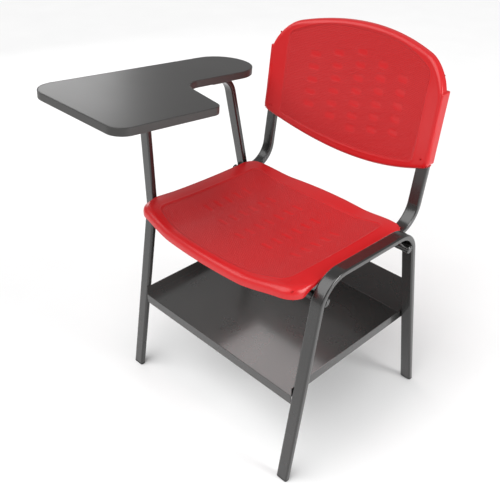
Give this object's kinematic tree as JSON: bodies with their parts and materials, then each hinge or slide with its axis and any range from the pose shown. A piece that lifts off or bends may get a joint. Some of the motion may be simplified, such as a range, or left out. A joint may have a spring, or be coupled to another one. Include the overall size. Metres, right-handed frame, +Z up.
{
  "type": "tablet-arm student chair",
  "caption": "School chair with a bent oval-tube steel frame, moulded plastic seat and backrest, sheet-steel book tray and a fixed writing tablet.",
  "frame": {"origin": "on the floor, under the middle of the whole chair's box", "axes": "+Z up; -Y is where the sitter faces; +X is the sitter's left, away from the writing tablet"},
  "size_m": [0.6366, 0.6212, 0.8024],
  "materials": {
    "powder_coated_steel": "semi-gloss dark grey powder coat on bent steel tube",
    "tray_steel": "semi-gloss dark grey powder coat on folded sheet steel",
    "black_plastic": "fine matte, moulded",
    "red_polypropylene": "satin, moulded, with a fine pattern on the sitting and leaning faces",
    "grey_laminate": "satin laminate on a wood-based board",
    "grey_edge_band": "satin plastic edge band",
    "zinc_plated_steel": "bright zinc plate"
  },
  "bodies": {
    "root": {"back_screw_plain": "zinc_plated_steel", "back_screw_tablet": "zinc_plated_steel", "back_support_plain": "powder_coated_steel", "back_support_tablet": "powder_coated_steel", "backrest_shell": "red_polypropylene", "bar_cap_front_plain": "powder_coated_steel", "bar_cap_front_tablet": "powder_coated_steel", "bar_cap_rear_plain": "powder_coated_steel", "bar_cap_rear_tablet": "powder_coated_steel", "book_tray": "tray_steel", "cross_bar_front": "powder_coated_steel", "cross_bar_rear": "powder_coated_steel", "foot_front_plain": "black_plastic", "foot_front_tablet": "black_plastic", "foot_rear_plain": "black_plastic", "foot_rear_tablet": "black_plastic", "post_front_tablet": "powder_coated_steel", "post_rear_tablet": "powder_coated_steel", "seat_screw_front_plain": "zinc_plated_steel", "seat_screw_front_tablet": "zinc_plated_steel", "seat_screw_rear_plain": "zinc_plated_steel", "seat_screw_rear_tablet": "zinc_plated_steel", "seat_shell": "red_polypropylene", "side_frame_plain": "powder_coated_steel", "support_plug_front_plain": "black_plastic", "support_plug_front_tablet": "black_plastic", "support_plug_top_plain": "black_plastic", "support_plug_top_tablet": "black_plastic", "tablet_board": "grey_laminate", "tablet_edge_band": "grey_edge_band", "tablet_plate_front": "powder_coated_steel", "tablet_plate_rear": "powder_coated_steel", "tablet_screw_front_1": "zinc_plated_steel", "tablet_screw_front_2": "zinc_plated_steel", "tablet_screw_rear_1": "zinc_plated_steel", "tablet_screw_rear_2": "zinc_plated_steel"}
  },
  "joints": []
}
